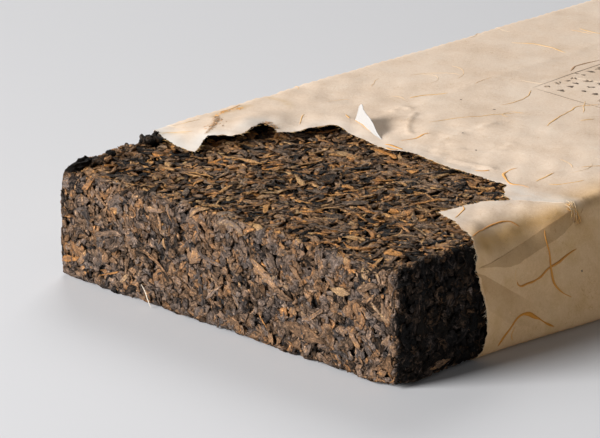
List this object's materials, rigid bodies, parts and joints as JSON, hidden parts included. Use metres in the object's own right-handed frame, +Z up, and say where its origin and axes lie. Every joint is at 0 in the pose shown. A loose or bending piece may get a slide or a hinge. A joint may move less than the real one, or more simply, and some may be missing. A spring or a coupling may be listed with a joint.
{
  "type": "pu erh tea brick",
  "caption": "Flat brick of pressed dark tea leaves, bare at one end and wrapped in torn handmade paper over the rest.",
  "frame": {"origin": "under the middle of the object, on the surface that it lies on", "axes": "+Y along the brick from the bare end to the folded end of the paper, +X across it, +Z up"},
  "size_m": [0.1488, 0.2914, 0.0437],
  "materials": {
    "pressed_tea": "dry pressed leaves, matte to slightly waxy",
    "wrapper_paper": "matte handmade paper with long bast fibres"
  },
  "bodies": {
    "root": {"tea_brick": "pressed_tea", "paper_wrapper": "wrapper_paper"}
  },
  "joints": []
}
